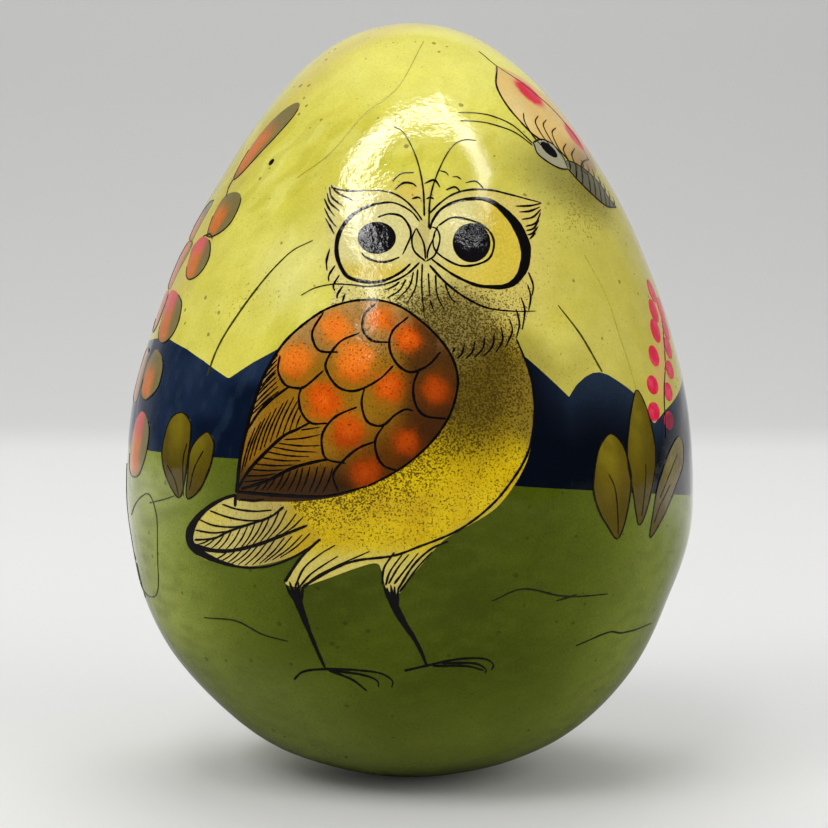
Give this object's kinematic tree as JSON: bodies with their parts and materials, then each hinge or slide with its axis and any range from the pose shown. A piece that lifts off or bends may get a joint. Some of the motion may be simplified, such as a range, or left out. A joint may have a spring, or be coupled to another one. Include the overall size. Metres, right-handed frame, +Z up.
{
  "type": "painted papier-mache egg",
  "caption": "Hollow lacquered papier-mache display egg, hand painted with an owl, a butterfly, mountains and plants.",
  "frame": {"origin": "middle of the rounded underside, where the upright egg would touch a table", "axes": "+Z up the egg's axis to the crown; the owl faces -Y; +X is at the owl picture's right-hand side"},
  "size_m": [0.114, 0.114, 0.152],
  "materials": {
    "cardboard": "grey-brown strip board, dry",
    "paper_pulp": "moulded paper pulp, fibrous, dry",
    "pasted_paper": "brown strip paper soaked in paste, slightly wrinkled",
    "white_primer": "brushed chalk and glue primer, sanded",
    "sky_yellow": "airbrushed mottled olive yellow under lacquer",
    "mountain_blue": "airbrushed navy with paler mist under lacquer",
    "meadow_green": "airbrushed dark olive green under lacquer",
    "owl_mustard": "mustard yellow with brown speckle under lacquer",
    "owl_brown": "brown shaded feathers under lacquer",
    "feather_orange": "soft-edged orange spots under lacquer",
    "eye_yellow": "pale yellow under lacquer",
    "butterfly_peach": "peach shading to grey-brown under lacquer",
    "petal_red": "pink-red with a pale halo under lacquer",
    "leaf_olive": "brown-olive leaves with orange hearts under lacquer",
    "black_ink": "pen and brush lines under lacquer",
    "clear_lacquer": "thick clear high-gloss lacquer, faintly amber, slightly wavy"
  },
  "bodies": {
    "root": {"joining_collar": "cardboard", "lower_shell": "paper_pulp", "upper_shell": "paper_pulp", "paper_gores": "pasted_paper", "crown_patch": "pasted_paper", "base_patch": "pasted_paper", "primer_coat": "white_primer", "sky_paint": "sky_yellow", "mountain_paint": "mountain_blue", "meadow_paint": "meadow_green", "owl_body_paint": "owl_mustard", "owl_wing_paint": "owl_brown", "feather_spot_paint": "feather_orange", "owl_eye_paint": "eye_yellow", "butterfly_paint": "butterfly_peach", "butterfly_spot_paint": "petal_red", "vine_leaf_paint": "leaf_olive", "shrub_leaf_paint": "leaf_olive", "petal_paint": "petal_red", "ink_lines": "black_ink", "lacquer_coat": "clear_lacquer"}
  },
  "joints": []
}
